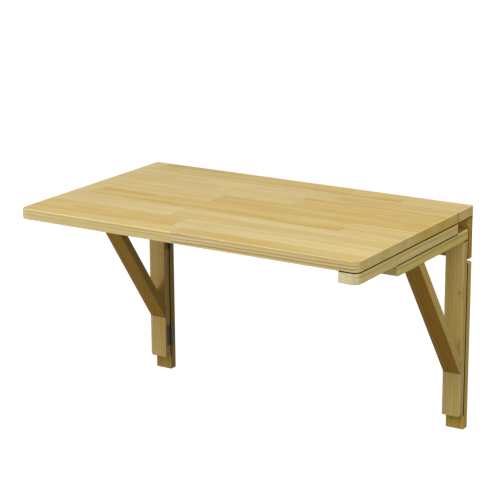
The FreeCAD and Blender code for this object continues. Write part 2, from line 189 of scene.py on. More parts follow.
class Net:
    """A node tree with short ways to place and wire nodes."""

    def __init__(self, tree):
        self.tree = tree

    def node(self, kind, inputs=(), **settings):
        """Places a node. Inputs are (socket, number, colour or other socket) pairs."""
        made = self.tree.nodes.new("ShaderNode" + kind)
        for name, setting in settings.items():
            setattr(made, name, setting)
        for socket, given in inputs:
            self.feed(made.inputs[socket], given)
        return made

    def feed(self, socket, given):
        """Wires a socket, or sets it where a plain value is given."""
        if isinstance(given, bpy.types.NodeSocket):
            self.tree.links.new(given, socket)
        elif socket.type == "RGBA" and len(given) == 3:
            socket.default_value = (*given, 1)
        else:
            socket.default_value = given

    def math(self, operation, *given, use_clamp=False):
        """One sum of plain numbers."""
        made = self.node("Math", enumerate(given), operation=operation, use_clamp=use_clamp)
        return made.outputs[0]

    def times(self, *given):
        """Plain numbers multiplied."""
        return reduce(partial(self.math, "MULTIPLY"), given)

    def plus(self, *given):
        """Plain numbers added."""
        return reduce(partial(self.math, "ADD"), given)

    def minus(self, one, other):
        """One plain number less another."""
        return self.math("SUBTRACT", one, other)

    def most(self, one, other):
        """The greater of two plain numbers."""
        return self.math("MAXIMUM", one, other)

    def vector(self, operation, *given):
        """One sum of vectors."""
        made = self.node("VectorMath", enumerate(given), operation=operation)
        return made.outputs["Vector"]

    def length(self, where):
        """The length of a vector."""
        return self.node("VectorMath", [(0, where)], operation="LENGTH").outputs["Value"]

    def ramp(self, given, low, high, start=0.0, end=1.0):
        """Runs smoothly from start to end as the number given goes from low to high."""
        sockets = [("Value", given), ("From Min", low), ("From Max", high), ("To Min", start),
                   ("To Max", end)]
        return self.node("MapRange", sockets, interpolation_type="SMOOTHSTEP").outputs["Result"]

    def fade(self, given, low, high):
        """Runs smoothly from 1 down to 0 as the number given goes from low to high."""
        return self.ramp(given, low, high, 1.0, 0.0)

    def between(self, share, start, end):
        """Runs smoothly from start to end as a share goes from 0 to 1."""
        return self.ramp(share, 0.0, 1.0, start, end)

    def mix(self, share, one, other, blend="MIX"):
        """Mixes two colours."""
        made = self.node("Mix", data_type="RGBA", blend_type=blend)
        colours = [socket for socket in made.inputs if socket.type == "RGBA"]
        self.feed(made.inputs["Factor"], share)
        self.feed(colours[0], one)
        self.feed(colours[1], other)
        return next(socket for socket in made.outputs if socket.type == "RGBA")

    def tint(self, one, other):
        """Multiplies two colours."""
        return self.mix(1.0, one, other, "MULTIPLY")

    def noise(self, where, scale, detail=2.0):
        """Noise from 0 to 1. Scale is one number, or one for each of X, Y and Z."""
        if isinstance(scale, tuple):
            where, scale = self.vector("MULTIPLY", where, scale), 1.0
        sockets = [("Vector", where), ("Scale", scale), ("Detail", detail)]
        return self.node("TexNoise", sockets).outputs["Fac"]

    def parts(self, where):
        """The X, Y and Z of a vector."""
        return self.node("SeparateXYZ", [("Vector", where)]).outputs

    def whole(self, x, y, z):
        """A vector from X, Y and Z."""
        return self.node("CombineXYZ", [("X", x), ("Y", y), ("Z", z)]).outputs[0]

    def use(self, effect, **given):
        """Places a shared effect and returns its outputs. The first use builds the effect."""
        if effect not in built:
            built[effect] = effect()
        made = self.node("Group", node_tree=built[effect])
        for label, socket in given.items():
            self.feed(made.inputs[label.replace("_", " ")], socket)
        return made.outputs

    def put_out(self, **found):
        """Wires the outputs of a shared effect, and returns the effect."""
        end = self.tree.nodes.new("NodeGroupOutput")
        for label, socket in found.items():
            self.feed(end.inputs[label.replace("_", " ")], socket)
        return self.tree


def shared_effect(name, inputs, outputs):
    """An empty node group with inputs and outputs by kind: its net and its input sockets."""
    tree = bpy.data.node_groups.new(name, "ShaderNodeTree")
    for way, sockets in (("INPUT", inputs), ("OUTPUT", outputs)):
        for kind, labels in sockets.items():
            for label in labels.split(", "):
                tree.interface.new_socket(label, in_out=way, socket_type="NodeSocket" + kind)
    return Net(tree), tree.nodes.new("NodeGroupInput").outputs


# ---- shared effects


# How fast the noises in the wood change along the grain, across it and in depth.
SWAY_SCALE = (3.0, 9.0, 9.0)
FIBRE_SCALE = (6.0, 330.0, 330.0)
END_FIBRE_SCALE = (1.0, 260.0, 9.0)
DRIFT_SCALE = (3.2, 32.0, 32.0)

# How many metres of grain lie between one seed and the next.
SEED_STEP = 3.7

# How many rings the rings shift by, to be wide and narrow by turns, and how fast.
RING_SHIFT = 2.2
RING_SHIFT_SCALE = 0.45

# The shares of a ring over which its late wood comes, and over which it ends.
LATE_COMES = (0.35, 0.88)
LATE_ENDS = (0.90, 1.0)


def growth_rings():
    """Solid softwood: rings round a pith, with streaks of fibre along X."""
    net, given = shared_effect(
        "Growth Rings",
        {"Vector": "Vector", "Float": "Pith Across, Pith Depth, Ring Spacing, Sway, Seed, End"},
        {"Float": "Late, Fibre, Drift"})
    x, y, z = net.parts(given["Vector"])
    placed = net.whole(net.plus(x, net.times(given["Seed"], SEED_STEP)), y, z)
    sway = net.noise(placed, SWAY_SCALE, 1.0)
    swing = net.times(net.minus(sway, 0.5), given["Sway"])
    across = net.plus(net.minus(y, given["Pith Across"]), swing)
    depth = net.minus(net.minus(z, given["Pith Depth"]), swing)
    reach = net.length(net.whole(0.0, across, depth))
    rings = net.math("DIVIDE", reach, given["Ring Spacing"])
    uneven = net.node("TexNoise", [("W", rings), ("Scale", RING_SHIFT_SCALE), ("Detail", 1.0)],
                      noise_dimensions="1D").outputs["Fac"]
    ring = net.math("FRACT", net.plus(rings, net.times(uneven, RING_SHIFT)))
    late = net.times(net.ramp(ring, *LATE_COMES), net.fade(ring, *LATE_ENDS))
    long_fibre = net.noise(placed, FIBRE_SCALE, 4.0)
    end_fibre = net.noise(placed, END_FIBRE_SCALE, 3.0)
    change = net.times(net.minus(end_fibre, long_fibre), given["End"])
    return net.put_out(Late=late, Fibre=net.plus(long_fibre, change),
                       Drift=net.noise(placed, DRIFT_SCALE, 3.0))


# How far a stave's pith may lie aside and down.
PITH_SPREAD = 0.09
PITH_DEPTHS = (-0.16, -0.05)

# The higher this is, the more of the staves are pale.
PALE_POWER = 1.6

# How strongly the rings show in the plainest stave and in the boldest.
RING_CONTRASTS = (0.5, 1.3)

GLUE_LINE_WIDTH = 0.6 * MM
STAVE_SEEDS = 40.0


def glued_staves():
    """Staves side by side along X, each with a pith and a tone of its own."""
    net, given = shared_effect(
        "Glued Staves",
        {"Vector": "Vector", "Float": "Stave Width, Stave Length, Seed"},
        {"Float": "Pith Across, Pith Depth, Tone, Contrast, Glue Line, Seed"})
    x, y, z = net.parts(given["Vector"])
    row = net.plus(net.math("DIVIDE", y, given["Stave Width"]), given["Seed"])
    row_number = net.math("FLOOR", row)
    shift = net.node("TexWhiteNoise", [("W", row_number)], noise_dimensions="1D").outputs["Value"]
    place = net.plus(net.math("DIVIDE", x, given["Stave Length"]), shift)
    stave = net.whole(row_number, net.math("FLOOR", place), 0.0)
    draw = net.node("TexWhiteNoise", [("Vector", stave)], noise_dimensions="3D").outputs
    red, green, blue = net.node("SeparateColor", [("Color", draw["Color"])]).outputs
    middle = net.minus(net.plus(row_number, 0.5), given["Seed"])
    middle = net.times(middle, given["Stave Width"])
    aside = net.times(net.minus(red, 0.5), PITH_SPREAD)
    to_side = net.times(net.math("PINGPONG", row, 0.5), given["Stave Width"])
    to_end = net.times(net.math("PINGPONG", place, 0.5), given["Stave Length"])
    line = net.math("MINIMUM", to_side, to_end)
    return net.put_out(
        Pith_Across=net.plus(middle, aside),
        Pith_Depth=net.between(green, *PITH_DEPTHS), Tone=net.math("POWER", blue, PALE_POWER),
        Contrast=net.between(draw["Value"], *RING_CONTRASTS),
        Glue_Line=net.fade(line, 0.0, GLUE_LINE_WIDTH),
        Seed=net.times(draw["Value"], STAVE_SEEDS))


WEAR_GRAIN = 260.0


def arris_wear():
    """How close a point lies to an edge of its piece's box, from 0 to 1: evenly as Arris, and
    unevenly as Wear."""
    net, given = shared_effect(
        "Arris Wear", {"Vector": "Vector, Low, High", "Float": "Width"}, {"Float": "Arris, Wear"})
    from_low = net.vector("SUBTRACT", given["Vector"], given["Low"])
    from_high = net.vector("SUBTRACT", given["High"], given["Vector"])
    x, y, z = net.parts(net.vector("MINIMUM", from_low, from_high))
    least = net.math("MINIMUM", x, y)
    second = net.most(least, net.math("MINIMUM", net.most(x, y), z))
    rough = net.noise(given["Vector"], WEAR_GRAIN)
    width = net.times(given["Width"], net.plus(rough, 0.5))
    return net.put_out(Arris=net.fade(second, 0.0, given["Width"]),
                       Wear=net.fade(second, 0.0, width))


def joint_line():
    """How close a point lies to the box of the piece that it is joined to, from 0 to 1: Line is
    the dark line itself, which also paints the shade of the gap between the pieces, and Near
    reaches past it."""
    net, given = shared_effect(
        "Joint Line", {"Vector": "Vector, Low, High", "Float": "Gap, Width, Share"},
        {"Float": "Line, Near"})
    below = net.vector("SUBTRACT", given["Low"], given["Vector"])
    above = net.vector("SUBTRACT", given["Vector"], given["High"])
    outside = net.vector("MAXIMUM", net.vector("MAXIMUM", below, above), (0, 0, 0))
    away = net.length(outside)
    near = net.plus(given["Gap"], net.times(given["Width"], 0.5))
    far = net.plus(given["Gap"], given["Width"])
    past = net.plus(far, given["Width"])
    return net.put_out(Line=net.times(net.fade(away, near, far), given["Share"]),
                       Near=net.times(net.fade(away, far, past), given["Share"]))


# A knot is longer along the grain and into the wood than across it.
KNOT_SQUASH = (0.6, 1.0, 0.5)
KNOT_RIPPLES = 11.0
KNOT_SHADES = (0.4, 0.8)

# In radii of the knot: where its heart fades out, and how far it bends the grain.
KNOT_HEART = (0.45, 1.1)
KNOT_BEND = 5.0


def pine_knot():
    """A knot: a dark heart inside a few rings, and the bend that it gives to the grain."""
    net, given = shared_effect(
        "Knot", {"Vector": "Vector, Centre", "Float": "Radius"}, {"Float": "Heart, Bend"})
    away = net.vector("SUBTRACT", given["Vector"], given["Centre"])
    reach = net.length(net.vector("MULTIPLY", away, KNOT_SQUASH))
    share = net.math("DIVIDE", reach, given["Radius"])
    ripple = net.math("SINE", net.times(share, KNOT_RIPPLES))
    heart = net.times(net.fade(share, *KNOT_HEART), net.ramp(ripple, -1.0, 1.0, *KNOT_SHADES))
    bend = net.fade(share, 0.0, KNOT_BEND)
    return net.put_out(Heart=heart, Bend=net.times(bend, given["Radius"]))


# What pine's colour is multiplied by at its palest and darkest tone, and where it drifts.
PALE_TONE = (1.03, 1.05, 1.20)
DARK_TONE = (0.95, 0.88, 0.52)
YELLOW_DRIFT = (0.94, 0.87, 0.60)

# The parts of a noise over which its streaks and its clouds come.
STREAKS = (0.4, 0.75)
CLOUDS = (0.3, 0.7)


def pine_colour():
    """The colour of pine from its rings, fibre, tone, knots, worn edges with a painted
    highlight, and joints with the shade of their gaps painted in.
    """
    net, given = shared_effect(
        "Pine Colour",
        {"Color": "Early, Late, Edge Early, Edge Late, Rubbed, Tint, Knot, Joint Shade",
         "Float": "Edge, Rings, Fibre, Drift, Tone, Wear, Heart, Joint, Ring Strength, "
                  "Fibre Strength"},
        {"Color": "Color"})
    streak = net.times(net.ramp(given["Fibre"], *STREAKS), given["Fibre Strength"])
    share = net.plus(net.times(given["Rings"], given["Ring Strength"]), streak)
    wood = net.mix(share, net.mix(given["Edge"], given["Early"], given["Edge Early"]),
                   net.mix(given["Edge"], given["Late"], given["Edge Late"]))
    wood = net.mix(net.between(given["Tone"], 0.0, 1.0), net.tint(wood, PALE_TONE),
                   net.tint(wood, DARK_TONE))
    wood = net.mix(net.ramp(given["Drift"], *CLOUDS), wood, net.tint(wood, YELLOW_DRIFT))
    wood = net.tint(wood, given["Tint"])
    # Rubbed arrises are partly wear and partly a painted highlight, and the joint shade is partly
    # dark joints and partly painted shade.
    for share, colour in (("Heart", "Knot"), ("Wear", "Rubbed"), ("Joint", "Joint Shade")):
        wood = net.mix(given[share], wood, given[colour])
    return net.put_out(Color=wood)


LACQUER_CLOUD = 14.0

# The share of the lacquer that is left in a cloud, at a worn arris and on end grain.
LACQUER_IN_CLOUD = 0.88
LACQUER_WORN = 0.7
LACQUER_ON_END = 0.6

# What clouds, fibre and end grain add to the roughness, and the rings' share in the bump.
ROUGH_CLOUD = (-0.06, 0.06)
ROUGH_FIBRE = 0.1
ROUGH_END = 0.15
RING_HEIGHT = 0.6


def thin_lacquer():
    """A thin lacquer over wood: where it lies, and how rough and high the grain is under it."""
    net, given = shared_effect(
        "Lacquer",
        {"Vector": "Vector", "Float": "Weight, Roughness, Rings, Fibre, End, Wear, Joint"},
        {"Float": "Weight, Roughness, Height"})
    cloud = net.noise(given["Vector"], LACQUER_CLOUD, 3.0)
    rough = net.plus(given["Roughness"], net.ramp(cloud, *CLOUDS, *ROUGH_CLOUD),
                     net.times(given["Fibre"], ROUGH_FIBRE),
                     net.times(given["End"], ROUGH_END))
    weight = net.times(given["Weight"], net.ramp(cloud, *CLOUDS, 1.0, LACQUER_IN_CLOUD),
                       net.between(given["Wear"], 1.0, LACQUER_WORN),
                       net.between(given["End"], 1.0, LACQUER_ON_END),
                       net.between(given["Joint"], 1.0, 0.0))
    height = net.plus(net.times(given["Rings"], RING_HEIGHT), given["Fibre"])
    return net.put_out(Weight=weight, Roughness=rough, Height=height)


STEEL_GRAIN = 1500.0
STEEL_CLOUD = 160.0

# Where clouds thin the finish to specks, and how bare the steel is in those and at edges.
SPECKS = (0.62, 0.72)
SPECK_RUB = 0.25
EDGE_RUB = 0.55

CLOUDED_BLACK = (1.5, 1.45, 1.35)
ROUGH_GRAIN = (-0.06, 0.08)
RUBBED_METAL = 0.8


def black_finish():
    """A black finish on steel that has rubbed thin at its edges and in small specks."""
    net, given = shared_effect(
        "Black Finish",
        {"Vector": "Vector", "Color": "Black, Rubbed", "Float": "Roughness, Wear"},
        {"Color": "Color", "Float": "Roughness, Metallic, Height"})
    grain = net.noise(given["Vector"], STEEL_GRAIN)
    cloud = net.noise(given["Vector"], STEEL_CLOUD, 3.0)
    rub = net.most(net.times(given["Wear"], EDGE_RUB),
                   net.times(net.ramp(cloud, *SPECKS), SPECK_RUB))
    black = net.mix(net.ramp(cloud, *CLOUDS), given["Black"],
                    net.tint(given["Black"], CLOUDED_BLACK))
    rough = net.plus(given["Roughness"], net.ramp(grain, *CLOUDS, *ROUGH_GRAIN))
    return net.put_out(Color=net.mix(rub, black, given["Rubbed"]), Roughness=rough,
                       Metallic=net.times(rub, RUBBED_METAL), Height=grain)


# ---- materials


def new_material(name):
    """An empty material and its net."""
    material = bpy.data.materials.new(name)
    material.use_nodes = True
    material.node_tree.nodes.clear()
    return material, Net(material.node_tree)


def dress(node, material):
    """Gives a piece of the frame its finish."""
    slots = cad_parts[node].data.materials
    slots.clear()
    slots.append(material)


def shade(net, bump, height, sockets):
    """The shader of a material, with a bump of the strength and the depth given."""
    bumped = net.node("Bump", [("Strength", bump[0]), ("Distance", bump[1]), ("Height", height)])
    shader = net.node("BsdfPrincipled", [("Normal", bumped.outputs[0]), *sockets])
    net.node("OutputMaterial", [("Surface", shader.outputs[0])])


def box_round(points):
    """The lowest and the highest corner of the box round some points."""
    return [Vector([pick(point[n] for point in points) for n in range(3)]) for pick in (min, max)]


def own_box(node, turn):
    """The middle of a piece, and the corners of its box about that middle once it is turned."""
    low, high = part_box(node)
    middle = (low + high) / 2
    turned = turn.to_matrix()
    points = [turned @ (vertex.co - middle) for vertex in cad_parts[node].data.vertices]
    return middle, *box_round(points)


def grain_place(net, middle, turn):
    """The point and the face's direction, both turned so that the grain runs along X."""
    surface = net.node("TexCoord").outputs
    shift = turn.to_matrix() @ -middle
    place = net.node("Mapping", [("Vector", surface["Object"]), ("Location", shift),
                                 ("Rotation", turn)], vector_type="POINT")
    facing = net.node("Mapping", [("Vector", surface["Normal"]), ("Rotation", turn)],
                      vector_type="POINT")
    return place.outputs[0], facing.outputs[0]


# Corners this close to a box count as inside it.
NEAR = 0.05 * MM


def touching_box(one, other):
    """The box of the corners of one piece that lie in the box of the other."""
    low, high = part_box(other)
    return box_round([vertex.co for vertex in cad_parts[one].data.vertices
                      if all(low[n] - NEAR <= vertex.co[n] <= high[n] + NEAR for n in range(3))])


# How far painted shade reaches from the seam of the top, from a batten, from a bracket and under
# the shelf, before it fades.
SEAM_REACH = 0.6 * MM
BATTEN_REACH = 1.1 * MM
BRACKET_REACH = 3 * MM
SHELF_REACH = 24 * MM

# How strong the painted shade is at the rail's and the braces' ends. Elsewhere it is full.
RAIL_SHADE = 0.6
BRACE_SHADE = 0.4


def joint_shades():
    """For each piece, the boxes that it lies against, how far their shade reaches over it and
    how strong that is. The shade is a dark joint line that also paints the shade of the gap.
    The second list holds those that it only meets while the table is up, where the line is
    painted shade alone."""
    closed, painted_gap_shades = defaultdict(list), defaultdict(list)

    def pair(one, other, reach=0):
        closed[one].append((*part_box(other), reach, 1.0))
        closed[other].append((*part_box(one), reach, 1.0))

    def paint_gap_shade(piece, other, reach, share=1.0):
        painted_gap_shades[piece].append((*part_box(other), reach, share))

    pair("wall_rail", "shelf_strip")
    pair("shelf_strip", "leaf_panel", SEAM_REACH)
    for side in SIDES:
        post, arm, brace = bracket_pieces(side)
        pair("leaf_panel", side + "_batten")
        pair(arm, post)
        # Painted shade: an arm under its batten, an upright and the rail behind a post and an arm,
        # and the shelf over an arm's end.
        paint_gap_shade(arm, side + "_batten", BATTEN_REACH)
        paint_gap_shade(side + "_wall_upright", post, BRACKET_REACH)
        paint_gap_shade("wall_rail", post, BRACKET_REACH, RAIL_SHADE)
        paint_gap_shade("wall_rail", arm, BRACKET_REACH, RAIL_SHADE)
        paint_gap_shade("shelf_strip", arm, SHELF_REACH)
        for other in (post, arm):
            end = touching_box(brace, other)
            for piece in (brace, other):
                closed[piece].append((*end, 0, BRACE_SHADE))
    return closed, painted_gap_shades


def joint_lines(net, shades):
    """A piece's dark lines beside the boxes given, dark joints with the gaps' shade painted in,
    and the wider bands round those lines.
    """
    place = net.node("TexCoord").outputs["Object"]
    width = bpy.context.scene.table_pine.joint_width
    lines, bands = 0.0, 0.0
    for low, high, reach, share in shades:
        found = net.use(joint_line, Vector=place, Low=low, High=high, Gap=reach,
                        Width=width, Share=share)
        lines = net.most(lines, found["Line"])
        bands = net.most(bands, found["Near"])
    return lines, bands


# What sets the pine of one piece apart. Its grain is drawn from the seed, and a right hand piece
# takes the next one. Tone goes from 0, pale, to 1, dark. Rings and fibre are how strongly those
# show. Pith is where the middle of the tree lies, across and in depth. Pale is the share of edge
# wood in the long faces and in end grain. Tints multiply the colour: tint everywhere, end_tint on
# end grain, and a third one, painted shade, on the face that lies in the table's shade, the top
# of an arm and the lower front of a brace.
PLAIN = {"tone": 0.4, "rings": 0.6, "fibre": 0.32, "pith": (0.02, -0.09), "pale": (0.0, 1.0),
         "tint": WHITE, "end_tint": WHITE}
LOOKS = {
    "leaf_panel": {"seed": 3, "rings": 0.5, "fibre": 0.3},
    "shelf_strip": {"seed": 4, "rings": 0.5, "fibre": 0.3},
    "wall_rail": {"seed": 11, "tone": 0.8, "pale": (0.0, 0.0), "tint": (0.76, 0.60, 0.46),
                  "end_tint": (0.87, 0.80, 0.75)},
    "wall_upright": {"seed": 12, "tone": 0.55, "pith": (0.09, 0.03), "pale": (0.0, 0.3)},
    "batten": {"seed": 21, "tone": 0.2, "pale": (0.7, 1.0), "tint": (1.15, 1.20, 1.0),
               "end_tint": (1.10, 1.17, 1.30)},
    "bracket_post": {"seed": 31, "tone": 0.45, "rings": 0.5, "pith": (0.11, -0.03)},
    # An arm's top and a brace's lower front are darkened as painted shade.
    "bracket_arm": {"seed": 36, "tone": 0.35, "pale": (0.45, 0.8), "tint": (1.15, 1.30, 1.25),
                    "shaded_face_tint": (0.6, 0.5, 0.4), "end_tint": (0.95, 0.95, 1.0)},
    "bracket_brace": {"seed": 40, "pith": (0.07, -0.04)},
}

# What a left or a right hand piece has of its own. Much of it is painted light and shade: the
# left upright and the left brace are darker as painted shade of the top over the left bracket,
# and the posts' pales and tints even out how the lamps light their fronts.
OWN_LOOKS_AND_PAINTED_LIGHT = {
    "left_wall_upright": {"tint": (0.85, 0.77, 0.82)},
    "left_bracket_post": {"pale": (0.5, 0.5), "tint": (1.09, 1.05, 1.18)},
    "right_bracket_post": {"pale": (0.15, 0.5), "tint": (0.96, 0.97, 1.22)},
    "left_bracket_brace": {"tint": (0.86, 0.74, 0.60), "shaded_face_tint": (0.76, 0.62, 0.48)},
    "right_bracket_brace": {"shaded_face_tint": (0.75, 0.57, 0.40)},
}

# The directions that make a face end grain, a side, an upper face, the face that takes painted
# shade, or a back.
END_FACE = (0.5, 0.95)
SIDE_FACE = (0.3, 0.8)
UPPER_FACE = (0.3, 0.8)
SHADED_FACE = (-0.9, -0.7)
BACK_FACE = (-0.6, -0.2)

# How strongly rings and fibre show in end grain, and how much more rings do in the top's sides.
END_RINGS = 0.4
END_FIBRE = 0.5
SIDE_RINGS = 0.4

STAVE_TONES = (0.05, 0.85)
GLUE_SHADE = 0.25
GRAIN_SWAY = 12 * MM
KNOT_RADIUS = 3.5 * MM
BACK_LACQUER = 0.3

# Painted shade from a piece that only meets this one keeps to its arris, and a joint shows less on
# top.
GAP_SHADE_ARRIS = (0.1, 0.6)
UPPER_JOINT = 0.5

WOOD_BUMP = (0.12, 0.2 * MM)
WOOD_SHINE = 0.05
SCATTER = (12.9898, 43758.5453)


def steady(number):
    """A number from 0 to 1 that is always the same for the same whole number."""
    return math.modf(abs(math.sin(number * SCATTER[0]) * SCATTER[1]))[0]


def pine_joints(net, node, arris, lift, staves):
    """How dark the joint lines make a piece, with the gaps' shade painted in, and where they
    leave it bare of lacquer.
    """
    closed, painted_gap_shades = joint_shades()
    joint, band = joint_lines(net, closed[node])
    gap_shade, _ = joint_lines(net, painted_gap_shades[node])
    # Painted shade along the arris where another piece meets this one while the table is up.
    joint = net.most(joint, net.times(net.ramp(arris, *GAP_SHADE_ARRIS), gap_shade))
    if staves:
        joint = net.times(joint, net.ramp(lift, *UPPER_FACE, 1.0, UPPER_JOINT))
    return joint, net.most(joint, band)


def pine_tint(net, look, end, lift):
    """The tint of a piece, with the painted shade of its face that lies in the table's shade,
    and the tint of its end grain.
    """
    tint = look["tint"]
    # Painted shade on the face that lies in the table's shade: an arm's top, a brace's lower
    # front.
    if "shaded_face_tint" in look:
        tint = net.mix(net.fade(lift, *SHADED_FACE), tint, look["shaded_face_tint"])
    return net.mix(end, tint, look["end_tint"])


def pine(node, turn, staves=False, knot=None):
    """Gives a piece its lacquered pine. Staves is for the top, and knot is a knot's place."""
    settings = bpy.context.scene.table_pine
    kind = "top" if staves else "frame"
    early, late, spacing, worn, lacquer, gloss = (
        getattr(settings, f"{kind}_{name}")
        for name in ("early", "late", "rings", "wear", "lacquer", "gloss"))
    plain_name = node.removeprefix("left_").removeprefix("right_")
    look = PLAIN | LOOKS[plain_name] | OWN_LOOKS_AND_PAINTED_LIGHT.get(node, {})
    seed = look["seed"] + node.startswith("right_")
    middle, low, high = own_box(node, turn)
    material, net = new_material(node + "_pine")
    place, facing = grain_place(net, middle, turn)
    along, across, lift = net.parts(facing)
    end = net.ramp(net.math("ABSOLUTE", along), *END_FACE)
    edge = net.between(end, *look["pale"])
    strength = net.between(end, look["rings"], look["rings"] * END_RINGS)
    grain = dict(zip(("Pith_Across", "Pith_Depth"), look["pith"]), Seed=seed + steady(seed))
    tone, heart, grained = look["tone"], 0.0, place
    if staves:
        glued = net.use(glued_staves, Vector=place, Stave_Width=settings.stave_width,
                        Stave_Length=settings.stave_length, Seed=steady(seed))
        grain = {label: glued[label.replace("_", " ")] for label in grain}
        tone = net.between(glued["Tone"], *STAVE_TONES)
        edge = net.ramp(net.math("ABSOLUTE", across), *SIDE_FACE)
        strength = net.plus(strength, net.times(edge, SIDE_RINGS))
        strength = net.times(strength, glued["Contrast"])
    if knot:
        centre = turn.to_matrix() @ (Vector(knot) - middle)
        knotted = net.use(pine_knot, Vector=place, Centre=centre, Radius=KNOT_RADIUS)
        heart = knotted["Heart"]
        grained = net.vector("ADD", place, net.whole(0.0, knotted["Bend"], 0.0))
    grown = net.use(growth_rings, Vector=grained, End=end, Ring_Spacing=spacing,
                    Sway=GRAIN_SWAY, **grain)
    edges = net.use(arris_wear, Vector=place, Low=low, High=high, Width=settings.arris_width)
    joint, bare = pine_joints(net, node, edges["Arris"], lift, staves)
    # The pale rubbed arrises are partly wear and partly a painted highlight on the rounded edges.
    wear = net.times(net.math("SUBTRACT", edges["Wear"], joint, use_clamp=True), worn)
    colour = net.use(
        pine_colour, Early=early, Late=late, Edge_Early=settings.edge_early,
        Edge_Late=settings.edge_late, Edge=edge, Rings=grown["Late"], Fibre=grown["Fibre"],
        Drift=grown["Drift"], Tone=tone, Wear=wear, Rubbed=settings.rubbed, Heart=heart,
        Knot=settings.knot, Tint=pine_tint(net, look, end, lift), Joint=joint,
        Joint_Shade=settings.joint, Ring_Strength=strength,
        Fibre_Strength=net.between(end, look["fibre"], END_FIBRE))["Color"]
    if staves:
        colour = net.mix(net.times(glued["Glue Line"], GLUE_SHADE), colour, late)
    laid = net.ramp(lift, *BACK_FACE, BACK_LACQUER, 1.0)
    coat = net.use(thin_lacquer, Vector=place, Joint=bare, Wear=wear,
                   Weight=net.times(lacquer, laid), Roughness=settings.roughness,
                   Rings=grown["Late"], Fibre=grown["Fibre"], End=net.most(end, edge))
    shade(net, WOOD_BUMP, coat["Height"],
          [("Base Color", colour), ("Roughness", coat["Roughness"]),
           ("Specular IOR Level", WOOD_SHINE), ("Coat Weight", coat["Weight"]),
           ("Coat Roughness", gloss)])
    dress(node, material)


STEEL_ARRIS = 0.6 * MM
STEEL_BUMP = (0.15, 0.1 * MM)
STEEL_SHINE = 0.3

# How worn a screw's head is, from its rim to the top of its recess.
HEAD_WEAR = (0.1, 0.7)


def fill_steel(net, place, colour, wear):
    """The finish of steel and its shader."""
    steel = bpy.context.scene.table_steel
    finish = net.use(black_finish, Vector=place, Black=colour, Rubbed=steel.rubbed,
                     Roughness=steel.roughness, Wear=wear)
    shade(net, STEEL_BUMP, finish["Height"],
          [("Base Color", finish["Color"]), ("Roughness", finish["Roughness"]),
           ("Metallic", finish["Metallic"]), ("Specular IOR Level", STEEL_SHINE)])


def hinge_steel(node, colour):
    """Gives a hinge piece its steel."""
    middle, low, high = own_box(node, ALONG_TABLE)
    material, net = new_material(node + "_steel")
    place, _ = grain_place(net, middle, ALONG_TABLE)
    edges = net.use(arris_wear, Vector=place, Low=low, High=high, Width=STEEL_ARRIS)
    fill_steel(net, place, colour, edges["Wear"])
    dress(node, material)


def screw_steel(name, colour):
    """The finish of a kind of screw. Both kinds wear over the height of a hinge screw's head,
    so the low heads of the wood screws are hardly worn."""
    material, net = new_material(name)
    place = net.node("TexCoord").outputs["Object"]
    rise = bpy.context.scene.table_screws.hinge_rise
    fill_steel(net, place, colour, net.ramp(net.parts(place)["Z"], 0.0, rise, *HEAD_WEAR))
    return material


# ---- screws

HEAD_SIDES = 24

# The heads' outlines from the rim inwards, as shares of their radius and their height.
PAN_PROFILE = ((1.0, 0.0), (1.0, 0.25), (0.93, 0.62), (0.76, 0.90), (0.56, 1.0))
FLAT_PROFILE = ((1.0, 0.0), (1.0, 0.6), (0.95, 1.0), (0.60, 1.0))

# The recess's reach and half width in radii of the head, and its depth in heights of it.
RECESS_LIP = (0.46, 0.11)
RECESS_FLOOR = (0.36, 0.08)
RECESS_DEPTH = 0.7


def ring_of(maker, radius, height):
    """A ring of points round Z."""
    turns = [2 * math.pi * n / HEAD_SIDES for n in range(HEAD_SIDES)]
    return [maker.verts.new((radius * math.cos(t), radius * math.sin(t), height)) for t in turns]


def cross_of(maker, radius, shares, height):
    """The twelve corners of a cross, anticlockwise."""
    reach, half = (radius * share for share in shares)
    quarter = [(reach, -half), (reach, half), (half, half)]
    spins = [Matrix.Rotation(turn * QUARTER, 2) for turn in range(4)]
    points = [spin @ Vector(point) for spin in spins for point in quarter]
    return [maker.verts.new((*point, height)) for point in points]


def band(maker, lower, upper):
    """Faces between two rings of the same count."""
    corners = zip(lower, lower[1:] + lower[:1], upper[1:] + upper[:1], upper)
    return [maker.faces.new(four) for four in corners]


def edges_round(maker, ring):
    """The edges of a closed ring."""
    pairs = zip(ring, ring[1:] + ring[:1])
    return [maker.edges.get(pair) or maker.edges.new(pair) for pair in pairs]


def screw_head(name, profile, radius, rise):
    """A screw's head on the XY plane, with a cross recess."""
    maker = bmesh.new()
    rings = [ring_of(maker, radius * out, rise * up) for out, up in profile]
    for lower, upper in zip(rings, rings[1:]):
        for face in band(maker, lower, upper):
            face.smooth = True
    maker.faces.new(reversed(rings[0]))
    lip = cross_of(maker, radius, RECESS_LIP, rise)
    floor = cross_of(maker, radius, RECESS_FLOOR, rise - rise * RECESS_DEPTH)
    bmesh.ops.bridge_loops(maker, edges=edges_round(maker, rings[-1]) + edges_round(maker, lip))
    band(maker, lip, floor)
    maker.faces.new(floor)
    bmesh.ops.recalc_face_normals(maker, faces=maker.faces)
    mesh = bpy.data.meshes.new(name)
    maker.to_mesh(mesh)
    maker.free()
    return mesh


def add_object(name, data, place):
    """Adds an object to the scene at its place."""
    made = bpy.data.objects.new(name, data)
    bpy.context.collection.objects.link(made)
    made.matrix_world = place
    return made


def turn_to(way, axis):
    """The turn that makes an axis of an object look one way."""
    return Vector(way).to_track_quat(axis, "Y").to_matrix().to_4x4()


def place_screw(name, mesh, body, spot, facing):
    """Sets one screw on a face of a body."""
    screw = add_object(name, mesh, Matrix.Translation(spot) @ turn_to(facing, "Z"))
    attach(screw, body)


# ---- operators


